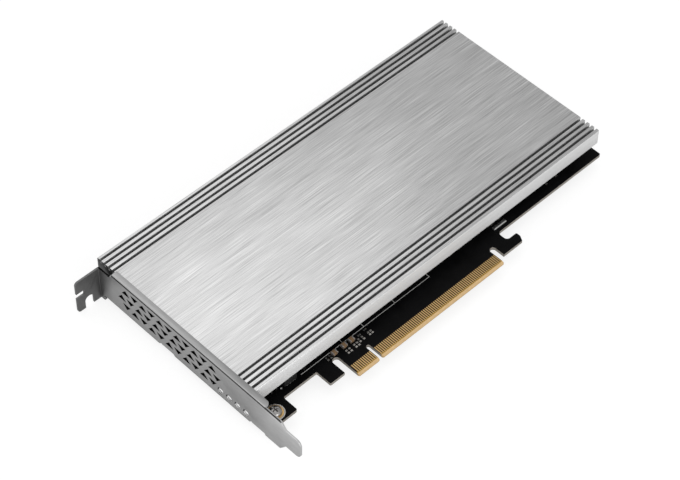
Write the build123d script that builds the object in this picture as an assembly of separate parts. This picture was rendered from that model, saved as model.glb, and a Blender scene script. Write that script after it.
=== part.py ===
from build123d import *
import os

# Adapter card that carries four solid-state drives flat between its circuit board and one
# extruded aluminium cover, with a bent steel bracket at its connector end.
# Millimetres. X runs along the card from the bracket to the tail, Y from the edge contacts up
# to the board's far edge, Z through the board towards the cover. The origin is on the nose of
# the edge connector, in the middle of its key notch, at half the board's thickness.

# Circuit board
board_thickness = 1.57
board_left = -56.5
board_right = 147.3
board_low = 13.0
board_high = 109.5
board_corner_radius = 0.8
lug_right = -42.1
lug_low = 4.95
guide_left = -23.9
guide_low = 4.9
guide_slot_width = 3.5
guide_slot_top = 13.2
step_radius = 0.6

# Edge connector
finger_pitch = 1.0
finger_width = 0.7
finger_low = 1.4
finger_high = 5.8
fingers_before_key = 11
fingers_after_key = 71
key_to_finger = 1.5
tongue_left_margin = 1.0
tongue_right_margin = 0.6
tongue_corner_radius = 0.6
key_notch_width = 1.9
key_notch_top = 8.7
bevel_height = 1.3
bevel_depth = 0.47
contact_thickness = 0.05

# Retention hook beside the edge connector
hook_slot_width = 3.0
hook_slot_top = 9.3
hook_length = 12.5
hook_low = 3.0
hook_top = 7.6
hook_slant = 1.3
hook_slant_height = 2.4
hook_neck_width = 6.75
hook_neck_radius = 1.8

# Bracket
sheet = 0.86
bend_radius = 0.2
bracket_outer = -57.9
bracket_low = -3.1
bracket_tab_under = 106.44
flange_reach = 3.2
flange_start = 6.7
flange_to_head = 1.7
flange_corner_radius = 1.7
flange_relief = 1.2
head_length = 6.44
head_high = 12.4
head_low = -6.1
head_low_length = 3.44
head_low_radius = 0.8
tab_reach = 12.3
tab_slot_width = 4.42
tab_slot_centre = 6.05
tab_slot_depth = 6.1
tab_corner_radius = 1.5
tab_notch_low = 2.8
tab_notch_high = 5.5
tab_notch_depth = 4.0
shoulder_high_start = -2.1
shoulder_low_start = -1.9
shoulder_end = -5.3
tongue_tip = -13.58
tongue_low = 1.4
tongue_high = 11.6
tongue_tip_radius = 2.7

# Vents and light holes in the bracket
vent_base = 4.9
vent_height = 2.85
vent_pitch = 5.23
vent_row_pitch = 4.69
vent_low = 0.5
vent_margin = 10.5
vent_columns = 11
light_hole_diameter = 3.4
light_hole_first = 17.7
light_hole_pitch = 4.97
light_hole_height = 0.7
light_count = 4

# Ears that carry the board on the bracket, and their screws
ear_width = 6.9
ear_centres = (11.05, 64.9)
ear_tip_reach = 4.5
ear_step_run = 1.4
ear_tip_cut = 1.2
ear_notch_width = 1.2
ear_notch_height = 1.4
bracket_screw_x = -49.3
bracket_screw_ys = (9.9, 64.9)
bracket_screw_diameter = 3.0
bracket_screw_head = 5.4
bracket_screw_head_height = 2.0
screw_clearance = 0.2
thread_clearance = 0.02
ring_diameter = 6.8

# Cover
cover_left = -55.3
cover_length = 202.3
cover_low = 15.36
cover_width = 94.69
cover_thickness = 8.06
cover_gap = 5.465
cover_edge_radius = 0.7
groove_width = 1.25
groove_depth = 2.0
groove_pitch = 2.65
groove_edge_distance = 2.1
groove_count = 4
cover_thread_depth = 5.0

# Spacers and screws under the cover
spacer_across_flats = 5.5
spacer_left_inset = 9.3
spacer_right_inset = 7.0
spacer_low_inset = 8.14
spacer_high_inset = 6.55
cover_screw_diameter = 3.0
cover_screw_head = 5.4
cover_screw_head_height = 1.8
cover_screw_grip = 4.0
recess_width = 0.75
recess_span = 3.0
recess_depth = 1.2

# Drive bays
bay_count = 4
bay_first = 27.3
bay_pitch = 23.5
bay_datum = -36.1
drive_length = 80.0
drive_height = 2.45
drive_card_thickness = 0.8
socket_left = -38.2
socket_depth = 6.5
socket_width = 22.0
socket_height = 4.2
socket_back_chamfer = 0.8
socket_slot_width = 20.2
socket_slot_height = 1.3
socket_slot_chamfer = 1.2
socket_slot_drop = 0.5
socket_key_offset = 6.125
socket_key_width = 1.0
socket_contact_pitch = 1.5
socket_contact_width = 0.6
socket_contact_length = 0.9
socket_contact_height = 0.2
socket_contact_count = 13
standoff_across_flats = 4.0
standoff_thread_diameter = 2.0
drive_screw_head = 3.6
drive_screw_head_height = 1.0
drive_screw_length = 2.2
drive_pad_thickness = 1.0
drive_pad_width = 20.0
drive_pad_start = 5.5
drive_pad_end_margin = 3.0

# Switch chip
chip_to_standoff = 52.1
chip_y = 62.7
chip_size = 27.0
chip_base_height = 1.6
chip_lid_size = 23.0
chip_lid_height = 1.2
chip_lid_chamfer = 0.4
chip_pad_size = 20.0

# Power stages, one beside each drive bay
stage_to_standoff = 20.6
inductor_size = 6.6
inductor_height = 3.0
inductor_chamfer = 0.8
regulator_offset = 7.6
regulator_size = 5.0
regulator_height = 0.9
bulk_offset = 7.0
bulk_length = 7.3
bulk_width = 4.3
bulk_height = 2.8
output_offset = 5.4
output_spread = 4.0
ceramic_length = 3.2
ceramic_width = 1.6
ceramic_height = 1.4

# Small parts round the switch chip and along the board's low edge
ring_capacitor_length = 1.6
ring_capacitor_width = 0.8
ring_capacitor_height = 0.8
ring_capacitor_pitch = 5.0
ring_capacitor_count = 5
ring_capacitor_offset = 17.0
coupling_first = 58.0
coupling_pitch = 6.0
coupling_count = 6
coupling_y = 18.6
coupling_length = 1.0
coupling_width = 0.5
coupling_height = 0.5
edge_capacitor_y = 14.75
edge_capacitor_xs = (-12.35, -6.95, -2.8)
edge_capacitor_length = 2.5
edge_capacitor_width = 2.0
edge_capacitor_height = 1.2
flash_to_chip = 22.0
flash_y = 40.0
flash_length = 6.0
flash_width = 5.0
flash_height = 0.8
clock_to_chip = 22.0
clock_y = 84.0
clock_size = 5.0
clock_height = 0.9
crystal_gap = 2.0
crystal_length = 3.2
crystal_width = 2.5
crystal_height = 0.8
lid_chamfer = 0.3
filter_x = 85.3
filter_y = 15.45
filter_length = 7.4
filter_width = 1.7
filter_height = 1.0
light_depth = 1.4
light_width = 3.0
light_height = 1.1
light_setback = 0.3

# Levels and edges worked out from the sizes above
top = board_thickness / 2
under = -top
cover_under = top + cover_gap
cover_top = cover_under + cover_thickness
cover_high = cover_low + cover_width
bracket_inner = bracket_outer + sheet
head_start = bracket_tab_under - head_length
head_low_start = bracket_tab_under - head_low_length
flange_end = head_start - flange_to_head
bracket_high = cover_top + sheet
tongue_left = -key_to_finger - (fingers_before_key - 1) * finger_pitch - tongue_left_margin
tongue_right = key_to_finger + (fingers_after_key - 1) * finger_pitch + tongue_right_margin
guide_right = tongue_left - guide_slot_width
hook_left = tongue_right + hook_slot_width
hook_right = hook_left + hook_length
neck_right = hook_left + hook_neck_width
light_ys = [light_hole_first + i * light_hole_pitch for i in range(light_count)]
bay_ys = [bay_first + i * bay_pitch for i in range(bay_count)]
standoff_x = bay_datum + drive_length
standoff_top = top + drive_height
stage_x = standoff_x + stage_to_standoff
chip_x = standoff_x + chip_to_standoff
flash_x = chip_x + flash_to_chip
clock_x = chip_x + clock_to_chip
vent_first = head_start - vent_margin
spacer_xs = (cover_left + spacer_left_inset, cover_left + cover_length - spacer_right_inset)
spacer_ys = (cover_low + spacer_low_inset, cover_high - spacer_high_inset)
bend_outside = bend_radius + sheet
bend_middle = bend_radius + sheet / 2
bracket_seat = top + contact_thickness


def rounded_face(*corners):
    """A face through corners given as (x, y, radius), where radius 0 leaves a sharp corner."""
    points = [(x, y) for x, y, radius in corners]
    radii = [radius for x, y, radius in corners]
    return make_face(FilletPolyline(*points, radius=radii, close=True))


def block(left, right, low, high, bottom, ceiling):
    """A plain block between the given limits along X, Y and Z."""
    size = (right - left, high - low, ceiling - bottom)
    centre = ((left + right) / 2, (low + high) / 2, (bottom + ceiling) / 2)
    return Pos(*centre) * Box(*size)


def part_on_board(x, y, length, width, height, edge=0.0):
    """A low block that stands on the component side, with chamfers round its upper face."""
    part = Pos(x, y, top) * extrude(Rectangle(length, width), height)
    return chamfer(part.faces().sort_by(Axis.Z)[-1].edges(), edge) if edge else part


def tapped_post(x, y, across_flats, bore, height):
    """A hexagonal post with a bore, standing on the component side."""
    section = RegularPolygon(across_flats / 2, 6, major_radius=False) - Circle(bore / 2)
    return Pos(x, y, top) * extrude(section, height)


def upright_slot(x, width, ceiling):
    """A slot open at the connector's nose, with a round end at the given height."""
    radius = width / 2
    centre = ceiling - radius
    mouth = -width
    straight = Pos(x, (mouth + centre) / 2) * Rectangle(width, centre - mouth)
    return straight + Pos(x, centre) * Circle(radius)


def through_board(x, y, diameter):
    """A cutter for a round hole through the board."""
    return Pos(x, y, 0) * Cylinder(diameter / 2, 2 * board_thickness)


def cross_recess(width, span, depth):
    """A cutter for a cross recess that opens at Z = 0 and goes down."""
    arms = Rectangle(span, width) + Rectangle(width, span)
    return extrude(arms, -depth)


def screw(shank, length, head, head_height):
    """A screw on the Z axis: its head stands on Z = 0, and its shank goes down."""
    return extrude(Circle(head / 2), head_height) + extrude(Circle(shank / 2), -length)


def circuit_board():
    """The laminate: outline with lug, guide, edge connector and hook, bevel and holes."""
    face = rounded_face(
        (board_left, board_high, board_corner_radius),
        (board_left, lug_low, 0),
        (lug_right, lug_low, step_radius),
        (lug_right, board_low, step_radius),
        (guide_left, board_low, step_radius),
        (guide_left, guide_low, step_radius),
        (guide_right + guide_slot_width / 2, guide_low, 0),
        (guide_right + guide_slot_width / 2, 0, 0),
        (hook_left - hook_slot_width / 2, 0, 0),
        (hook_left - hook_slot_width / 2, hook_low, 0),
        (hook_right - hook_slant, hook_low, 0),
        (hook_right, hook_low + hook_slant_height, 0),
        (hook_right, hook_top, step_radius),
        (neck_right, hook_top, hook_neck_radius),
        (neck_right, board_low, hook_neck_radius),
        (board_right, board_low, board_corner_radius),
        (board_right, board_high, board_corner_radius),
    )
    face -= upright_slot(guide_right + guide_slot_width / 2, guide_slot_width, guide_slot_top)
    face -= upright_slot(0, key_notch_width, key_notch_top)
    face -= upright_slot(hook_left - hook_slot_width / 2, hook_slot_width, hook_slot_top)
    nose = face.vertices().filter_by(lambda v: abs(v.Y) < 0.01)
    face = fillet(nose, tongue_corner_radius)
    board = extrude(Pos(0, 0, under) * face, board_thickness)
    wedge = Polyline((0, top), (0, top - bevel_depth), (bevel_height, top), close=True)
    span = tongue_right - tongue_left
    bevel = Pos(tongue_left, 0, 0) * extrude(Plane.YZ * make_face(wedge), span)
    board -= [bevel, mirror(bevel, Plane.XY)]
    hole = bracket_screw_diameter + 2 * screw_clearance
    board -= [through_board(bracket_screw_x, y, hole) for y in bracket_screw_ys]
    hole = cover_screw_diameter + 2 * screw_clearance
    return board - [through_board(x, y, hole) for x in spacer_xs for y in spacer_ys]


def edge_contacts(level):
    """One row of flat contacts on one side of the edge connector."""
    before = [-key_to_finger - i * finger_pitch for i in range(fingers_before_key)]
    after = [key_to_finger + i * finger_pitch for i in range(fingers_after_key)]
    length = finger_high - finger_low
    middle = (finger_high + finger_low) / 2
    pad = Box(finger_width, length, contact_thickness)
    return [Pos(x, middle, level) * pad for x in before + after]


def bracket_face():
    """The flat face of the bracket, as a YZ outline, up to where its tab bends out."""
    end = bracket_tab_under + sheet - bend_outside
    return rounded_face(
        (end, head_high, 0),
        (head_start, head_high, 0),
        (flange_end, bracket_high, 0),
        (shoulder_high_start, bracket_high, 0),
        (shoulder_end, tongue_high, 0),
        (tongue_tip, tongue_high, tongue_tip_radius),
        (tongue_tip, tongue_low, tongue_tip_radius),
        (shoulder_end, tongue_low, 0),
        (shoulder_low_start, bracket_low, 0),
        (head_low_start + bracket_low - head_low - sheet, bracket_low, head_low_radius),
        (head_low_start, head_low, head_low_radius),
        (end, head_low, 0),
    )


def vent(apex_up):
    """One triangular vent as a YZ outline, with its centre at half its height."""
    rise = vent_height / 2 if apex_up else -vent_height / 2
    half = vent_base / 2
    return make_face(Polyline((-half, -rise), (half, -rise), (0, rise), close=True))


def vent_field():
    """Three rows of alternating triangles. The middle row starts half a base further out."""
    triangles = []
    for row in range(3):
        shifted = row == 1
        count = vent_columns + 1 if shifted else vent_columns
        first = vent_first + vent_pitch / 2 if shifted else vent_first
        height = vent_low + vent_height / 2 + row * vent_row_pitch
        for column in range(count):
            apex_up = column % 2 == (1 if row == 0 else 0)
            y = first - column * vent_pitch
            triangles.append(Pos(y, height) * vent(apex_up))
    return triangles


def bent_strip(path):
    """A cross-section of bent sheet that follows the given middle line."""
    return trace(FilletPolyline(*path, radius=bend_middle), line_width=sheet)


def io_bracket():
    """One folded sheet: face with vents, outer tab, flange over the cover, ears and tongue."""
    face = bracket_face() - vent_field()
    lights = [Pos(y, light_hole_height) * Circle(light_hole_diameter / 2) for y in light_ys]
    face -= lights
    corner = bracket_high - bend_outside
    flange_mouth = flange_end - flange_start + flange_relief
    face -= Pos(flange_start + flange_mouth / 2, bracket_high) * Rectangle(
        flange_mouth, 2 * bend_outside
    )
    for centre in ear_centres:
        sill = Pos(centre, bracket_low) * Rectangle(ear_width, 2 * bend_outside)
        face -= sill
        for side in (-1, 1):
            y = centre + side * ear_width / 2
            notch = Polyline(
                (y, bracket_low), (y, bracket_low + ear_notch_height),
                (y + side * ear_notch_width, bracket_low), close=True,
            )
            face -= make_face(notch)
    bracket = extrude(Plane.YZ.offset(bracket_outer) * face, sheet)

    middle = bracket_outer + sheet / 2
    flange_line = [
        (middle, corner - sheet), (middle, bracket_high - sheet / 2),
        (bracket_outer + flange_reach, bracket_high - sheet / 2),
    ]
    profile = Plane.XZ.offset(-flange_end) * bent_strip(flange_line)
    flange = extrude(profile, flange_end - flange_start)
    free_edge = bracket_outer + flange_reach
    plan = rounded_face(
        (bracket_outer, flange_start, 0),
        (free_edge, flange_start, flange_corner_radius),
        (free_edge, flange_end, 0),
        (bracket_outer, flange_end, 0),
    )
    bracket += flange & extrude(plan, bracket_high)

    ear_low = under - sheet
    ear_tip = bracket_screw_x + ear_tip_reach
    ear_line = [
        (middle, bracket_low + bend_outside + sheet), (middle, bracket_low + sheet / 2),
        (board_left, bracket_low + sheet / 2),
        (board_left + ear_step_run, ear_low + sheet / 2), (ear_tip, ear_low + sheet / 2),
    ]
    section = bent_strip(ear_line)
    for centre, screw_y in zip(ear_centres, bracket_screw_ys):
        low, high = centre - ear_width / 2, centre + ear_width / 2
        ear = extrude(Plane.XZ.offset(-high) * section, ear_width)
        plan = make_face(Polyline(
            (bracket_outer, low), (ear_tip - ear_tip_cut, low), (ear_tip, low + ear_tip_cut),
            (ear_tip, high - ear_tip_cut), (ear_tip - ear_tip_cut, high), (bracket_outer, high),
            close=True,
        ))
        plan -= Pos(bracket_screw_x, screw_y) * Circle(
            bracket_screw_diameter / 2 + thread_clearance
        )
        bracket += ear & extrude(plan, 2 * bracket_low)

    tab_middle = bracket_tab_under + sheet / 2
    tab_start = bracket_tab_under - bend_outside
    tab_line = [
        (middle, tab_start), (middle, tab_middle), (bracket_outer - tab_reach, tab_middle),
    ]
    tab = extrude(Pos(0, 0, head_low) * bent_strip(tab_line), head_high - head_low)
    tip = bracket_outer - tab_reach
    plan = rounded_face(
        (bracket_inner, head_low, 0),
        (bracket_inner, head_high, 0),
        (tip, head_high, tab_corner_radius),
        (tip, tab_notch_high, 0),
        (tip + tab_notch_depth, tab_notch_high, 0),
        (tip + tab_notch_depth, tab_notch_low, 0),
        (tip, tab_notch_low, 0),
        (tip, head_low, tab_corner_radius),
    )
    slot_x = bracket_outer - tab_slot_centre
    plan -= Pos(0, head_low) * upright_slot(slot_x, tab_slot_width, tab_slot_depth)
    start = Plane.XZ.offset(-bracket_tab_under - 2 * sheet)
    return bracket + (tab & extrude(start * plan, 2 * bend_outside + 2 * sheet))


def heatsink_cover():
    """The extruded slab: rounded long edges, grooves along both sides, tapped blind holes."""
    face = rounded_face(
        (cover_low, cover_under, 0),
        (cover_low, cover_top, cover_edge_radius),
        (cover_high, cover_top, cover_edge_radius),
        (cover_high, cover_under, 0),
    )
    for index in range(groove_count):
        inset = groove_edge_distance + index * groove_pitch
        for y in (cover_low + inset, cover_high - inset):
            face -= Pos(y, cover_top) * Rectangle(groove_width, 2 * groove_depth)
    slab = extrude(Plane.YZ.offset(cover_left) * face, cover_length)
    bore = cover_screw_diameter / 2 + thread_clearance
    tapped = Cylinder(bore, 2 * cover_thread_depth)
    return slab - [Pos(x, y, cover_under) * tapped for x in spacer_xs for y in spacer_ys]


def mounting_rings():
    """Plated rings under the heads of the bracket screws."""
    bore = bracket_screw_diameter / 2 + screw_clearance
    ring = extrude(Circle(ring_diameter / 2) - Circle(bore), contact_thickness)
    return [Pos(bracket_screw_x, y, top) * ring for y in bracket_screw_ys]


def bracket_screws():
    """Two screws that clamp the board to the bracket's ears."""
    length = contact_thickness + board_thickness + sheet
    clamp = screw(
        bracket_screw_diameter, length, bracket_screw_head, bracket_screw_head_height
    )
    clamp -= Pos(0, 0, bracket_screw_head_height) * cross_recess(
        recess_width, recess_span, recess_depth
    )
    return [Pos(bracket_screw_x, y, bracket_seat) * clamp for y in bracket_screw_ys]


def cover_spacers():
    """Hexagonal spacers that hold the cover above the board."""
    bore = cover_screw_diameter + 2 * screw_clearance
    return [
        tapped_post(x, y, spacer_across_flats, bore, cover_gap)
        for x in spacer_xs for y in spacer_ys
    ]


def cover_screws():
    """Screws from the solder side, through board and spacer into the cover."""
    length = board_thickness + cover_gap + cover_screw_grip
    bolt = screw(cover_screw_diameter, length, cover_screw_head, cover_screw_head_height)
    turned = Rot(180, 0, 0) * bolt
    return [Pos(x, y, under) * turned for x in spacer_xs for y in spacer_ys]


def drive_socket(y):
    """One drive socket: housing with a slot that opens along +X, a lead-in and a key rib."""
    right = socket_left + socket_depth
    slot_low = standoff_top - (socket_slot_height - drive_card_thickness) / 2
    slot_high = slot_low + socket_slot_height
    roof = top + socket_height
    face = Polyline(
        (socket_left, top), (right, top), (right, roof),
        (socket_left + socket_back_chamfer, roof), (socket_left, roof - socket_back_chamfer),
        close=True,
    )
    low = y - socket_width / 2
    body = extrude(Plane.XZ.offset(-low - socket_width) * make_face(face), socket_width)
    mouth = Polyline(
        (bay_datum, slot_low), (right - socket_slot_chamfer, slot_low),
        (right, slot_low - socket_slot_drop), (right, roof), (right - socket_slot_chamfer, roof),
        (right - socket_slot_chamfer, slot_high), (bay_datum, slot_high), close=True,
    )
    half = socket_slot_width / 2
    cut = extrude(Plane.XZ.offset(-y - half) * make_face(mouth), socket_slot_width)
    key_y = y - socket_key_offset
    key_half = socket_key_width / 2
    rib = block(
        bay_datum, right - socket_slot_chamfer, key_y - key_half, key_y + key_half,
        slot_low, slot_high,
    )
    return body - cut + rib


def socket_contacts(y):
    """The solder tails along the back of one drive socket."""
    tail = Box(socket_contact_length, socket_contact_width, socket_contact_height)
    x = socket_left - socket_contact_length / 2
    first = y - (socket_contact_count - 1) / 2 * socket_contact_pitch
    height = top + socket_contact_height / 2
    steps = range(socket_contact_count)
    return [Pos(x, first + i * socket_contact_pitch, height) * tail for i in steps]


def drive_standoffs():
    """Threaded standoffs soldered to the board at the far end of each drive."""
    bore = standoff_thread_diameter + 2 * thread_clearance
    return [
        tapped_post(standoff_x, y, standoff_across_flats, bore, drive_height) for y in bay_ys
    ]


def drive_screws():
    """Small screws kept in the standoffs for the drives."""
    keeper = screw(
        standoff_thread_diameter, drive_screw_length, drive_screw_head, drive_screw_head_height
    )
    return [Pos(standoff_x, y, standoff_top) * keeper for y in bay_ys]


def drive_pad(y):
    """The soft pad that presses one drive against the cover."""
    left = bay_datum + drive_pad_start
    right = standoff_x - drive_pad_end_margin
    half = drive_pad_width / 2
    return block(left, right, y - half, y + half, cover_under - drive_pad_thickness, cover_under)


def switch_chip():
    """The large chip in the tail half: square base with a smaller lid, its edges chamfered."""
    base = part_on_board(chip_x, chip_y, chip_size, chip_size, chip_base_height)
    lid = part_on_board(
        chip_x, chip_y, chip_lid_size, chip_lid_size, chip_lid_height, chip_lid_chamfer
    )
    return base + Pos(0, 0, chip_base_height) * lid


def chip_pad():
    """The thick soft pad between the switch chip's lid and the cover."""
    half = chip_pad_size / 2
    floor = top + chip_base_height + chip_lid_height
    return block(chip_x - half, chip_x + half, chip_y - half, chip_y + half, floor, cover_under)


def power_inductors():
    """Moulded inductors of the four power stages, with chamfered upper edges."""
    size = inductor_size
    coil = part_on_board(stage_x, 0, size, size, inductor_height, inductor_chamfer)
    return [Pos(0, y, 0) * coil for y in bay_ys]


def regulator_chips():
    """Flat regulator chips beside the inductors."""
    x = stage_x + regulator_offset
    chip = part_on_board(x, 0, regulator_size, regulator_size, regulator_height)
    return [Pos(0, y, 0) * chip for y in bay_ys]


def bulk_capacitors():
    """Moulded capacitors between the power stages."""
    x = stage_x + bulk_offset / 2
    body = part_on_board(x, 0, bulk_length, bulk_width, bulk_height)
    ys = [y + bay_pitch / 2 for y in bay_ys[:-1]]
    return [Pos(0, y + side * bulk_offset / 2, 0) * body for y in ys for side in (-1, 1)]


def ceramic_capacitors():
    """Ceramic capacitors: round the chips, in the power stages and along the low edge."""
    output = part_on_board(stage_x, 0, ceramic_width, ceramic_length, ceramic_height)
    reach = regulator_offset + output_offset
    spread = output_spread / 2
    parts = [Pos(reach, y + side * spread, 0) * output for y in bay_ys for side in (-1, 1)]
    small = part_on_board(
        0, 0, ring_capacitor_length, ring_capacitor_width, ring_capacitor_height
    )
    first = chip_y - (ring_capacitor_count - 1) / 2 * ring_capacitor_pitch
    for index in range(ring_capacitor_count):
        y = first + index * ring_capacitor_pitch
        for side in (-1, 1):
            parts.append(Pos(chip_x + side * ring_capacitor_offset, y, 0) * small)
    edge = part_on_board(
        0, edge_capacitor_y, edge_capacitor_length, edge_capacitor_width, edge_capacitor_height
    )
    parts += [Pos(x, 0, 0) * edge for x in edge_capacitor_xs]
    return parts


def coupling_capacitors():
    """Two rows of tiny capacitors in the signal pairs of the edge connector."""
    grain = part_on_board(0, 0, coupling_width, coupling_length, coupling_height)
    xs = [coupling_first + i * coupling_pitch for i in range(coupling_count)]
    return [Pos(x + dx, coupling_y, 0) * grain for x in xs for dx in (0, 2 * coupling_width)]


def flash_chip():
    """Small memory chip that holds the switch chip's settings."""
    return part_on_board(flash_x, flash_y, flash_length, flash_width, flash_height)


def clock_chip():
    """Clock chip for the four drives."""
    return part_on_board(clock_x, clock_y, clock_size, clock_size, clock_height)


def crystal():
    """Metal-lidded crystal beside the clock chip."""
    x = clock_x + clock_size / 2 + crystal_gap + crystal_width / 2
    return part_on_board(x, clock_y, crystal_width, crystal_length, crystal_height, lid_chamfer)


def edge_filter():
    """Low metal part on the board's low edge, beside the hook."""
    return part_on_board(
        filter_x, filter_y, filter_length, filter_width, filter_height, lid_chamfer
    )


def status_lights():
    """Four side-facing lights behind the bracket's round holes."""
    x = board_left + light_setback + light_depth / 2
    lamp = part_on_board(x, 0, light_depth, light_width, light_height)
    return [Pos(0, y, 0) * lamp for y in light_ys]


nodes = {
    "circuit_board": circuit_board(),
    "edge_contacts_front": edge_contacts(top + contact_thickness / 2),
    "edge_contacts_back": edge_contacts(under - contact_thickness / 2),
    "io_bracket": io_bracket(),
    "heatsink_cover": heatsink_cover(),
    "mounting_rings": mounting_rings(),
    "bracket_screws": bracket_screws(),
    "cover_spacers": cover_spacers(),
    "cover_screws": cover_screws(),
    "drive_standoffs": drive_standoffs(),
    "drive_screws": drive_screws(),
    "switch_chip": switch_chip(),
    "chip_thermal_pad": chip_pad(),
    "power_inductors": power_inductors(),
    "regulator_chips": regulator_chips(),
    "bulk_capacitors": bulk_capacitors(),
    "ceramic_capacitors": ceramic_capacitors(),
    "coupling_capacitors": coupling_capacitors(),
    "flash_chip": flash_chip(),
    "clock_chip": clock_chip(),
    "crystal": crystal(),
    "edge_filter": edge_filter(),
    "status_lights": status_lights(),
}
for number, bay_y in enumerate(bay_ys, start=1):
    nodes[f"m2_socket_{number}"] = drive_socket(bay_y)
    nodes[f"m2_contacts_{number}"] = socket_contacts(bay_y)
    nodes[f"drive_thermal_pad_{number}"] = drive_pad(bay_y)

os.makedirs("parts", exist_ok=True)
for name, shape in nodes.items():
    solids = shape if isinstance(shape, list) else [shape]
    export_step(Compound(children=[solid.solid() for solid in solids]), f"parts/{name}.step")
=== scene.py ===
import math

import bmesh
import bpy
from bpy.props import FloatProperty, FloatVectorProperty, PointerProperty
from mathutils import Matrix, Vector


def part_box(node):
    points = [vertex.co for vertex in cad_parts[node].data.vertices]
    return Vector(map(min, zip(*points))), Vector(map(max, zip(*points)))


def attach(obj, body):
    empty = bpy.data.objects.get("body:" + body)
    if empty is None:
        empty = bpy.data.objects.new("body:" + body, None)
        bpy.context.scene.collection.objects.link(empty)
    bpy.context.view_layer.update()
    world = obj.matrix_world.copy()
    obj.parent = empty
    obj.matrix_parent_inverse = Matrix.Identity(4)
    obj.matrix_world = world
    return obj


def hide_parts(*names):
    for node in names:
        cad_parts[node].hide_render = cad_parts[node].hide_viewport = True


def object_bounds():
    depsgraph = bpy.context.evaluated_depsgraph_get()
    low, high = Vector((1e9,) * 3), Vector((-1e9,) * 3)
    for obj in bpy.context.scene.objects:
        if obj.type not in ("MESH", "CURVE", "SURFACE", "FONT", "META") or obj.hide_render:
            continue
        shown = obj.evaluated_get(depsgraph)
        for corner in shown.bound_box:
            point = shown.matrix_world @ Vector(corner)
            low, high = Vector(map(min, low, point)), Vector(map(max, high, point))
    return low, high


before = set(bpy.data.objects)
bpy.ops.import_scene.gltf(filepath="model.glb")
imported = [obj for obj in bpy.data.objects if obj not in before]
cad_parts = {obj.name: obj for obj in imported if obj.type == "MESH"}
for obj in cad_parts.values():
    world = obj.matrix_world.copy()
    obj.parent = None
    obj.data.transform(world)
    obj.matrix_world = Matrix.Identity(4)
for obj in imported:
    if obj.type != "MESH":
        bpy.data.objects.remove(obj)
cad_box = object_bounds()

bl_info = {
    "name": "Drive adapter card",
    "version": (1, 0, 0),
    "blender": (4, 5, 0),
    "location": "View3D > Sidebar > Card",
    "description": "Finishes and small details for a drive adapter card with an aluminium cover",
    "category": "Object",
}

# Lengths are in metres, as the frame is; MM turns millimetres into them.
MM = 0.001
MERGE = 1e-6
BODY = "root"

# Faces that meet at more than CREASE are shaded apart, edges above SHARP are broken, and
# triangles that differ by less than FLAT are joined.
CREASE = math.radians(24)
SHARP = math.radians(35)
FLAT = math.radians(0.5)

# Most of a noise lies between these values.
NOISE_LOW, NOISE_HIGH = 0.3, 0.7

# How far a material's roughness goes below and above its middle value.
SMOOTHER, ROUGHER = 0.06, 0.08

board_low, board_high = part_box("circuit_board")
cover_low, cover_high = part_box("heatsink_cover")
bracket_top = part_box("io_bracket")[1].z
finger_low, finger_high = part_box("edge_contacts_front")
board_top = board_high.z
board_under = board_low.z


def colour(name, what, default):
    """A colour that a user can change."""
    return FloatVectorProperty(
        name=name, description=what, default=default, size=3, subtype="COLOR", min=0, max=1
    )


def length(name, what, default):
    """A length that a user can change, in metres."""
    return FloatProperty(
        name=name, description=what, default=default, min=0, unit="LENGTH", precision=5
    )


class CardBoard(bpy.types.PropertyGroup):
    """Colours and printed marks of the circuit board."""

    resist: colour("Solder resist", "Colour of the board's lacquer", (0.0028, 0.0028, 0.003))
    laminate: colour("Laminate", "Colour of the bare board at its cut edges", (0.37, 0.345, 0.31))
    # Between the contacts: dark laminate, painted darker still for the shade between them.
    gap: colour("Contact gaps", "Colour of the board between the contacts", (0.022, 0.012, 0.006))
    bevel: colour("Bevel", "Colour of the ground nose of the edge connector", (0.66, 0.46, 0.24))
    plating: colour("Plating", "Gold of the contacts and rings", (0.64, 0.43, 0.19))
    foot: colour("Contact feet", "Darker gold below the contacts", (0.36, 0.20, 0.02))
    ink: colour("Ink", "Colour of the printed marks", (0.62, 0.62, 0.60))
    line: length("Line width", "Width of the printed lines", 0.24 * MM)


class CardCover(bpy.types.PropertyGroup):
    """Finish of the aluminium cover, with painted shade in its grooves and on its inner end."""

    metal: colour("Aluminium", "Colour of the brushed cover", (0.70, 0.70, 0.70))
    wall: colour("Side walls", "Colour of the satin side walls", (0.90, 0.90, 0.90))
    # The colour at the bottom of the grooves is painted shade.
    shaded_groove: colour("Grooves", "Colour at the bottom of the grooves", (0.34, 0.34, 0.34))
    # The colour of the end behind the bracket is painted shade from the gap there.
    shaded_inner_end: colour("Inner end", "Colour of the end behind the bracket", (0.03, 0.03, 0.03))
    brushing: FloatProperty(
        name="Brushing", description="Strength of the brushed streaks", default=0.36, min=0, max=1
    )
    edge: length("Edge", "Width of the broken edges", 0.12 * MM)


class CardBracket(bpy.types.PropertyGroup):
    """Finish of the steel bracket and of the fasteners."""

    steel: colour("Steel", "Colour of the plated bracket", (0.50, 0.50, 0.50))
    sheet: length("Sheet", "Thickness of the bracket's sheet", 0.86 * MM)
    stand_off: length("Stand-off", "From the bracket's outer face to the board", 1.4 * MM)
    nickel: colour("Screws", "Colour of the plated screws", (0.40, 0.39, 0.38))
    edge: length("Edge", "Width of the broken edges", 0.07 * MM)
    lug_head: length("Lug screw head", "Height of the heads on the lug", 2.0 * MM)
    cover_head: length("Cover screw head", "Height of the heads under the board", 1.8 * MM)
    drive_head: length("Drive screw head", "Height of the heads on the standoffs", 1.0 * MM)


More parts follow.
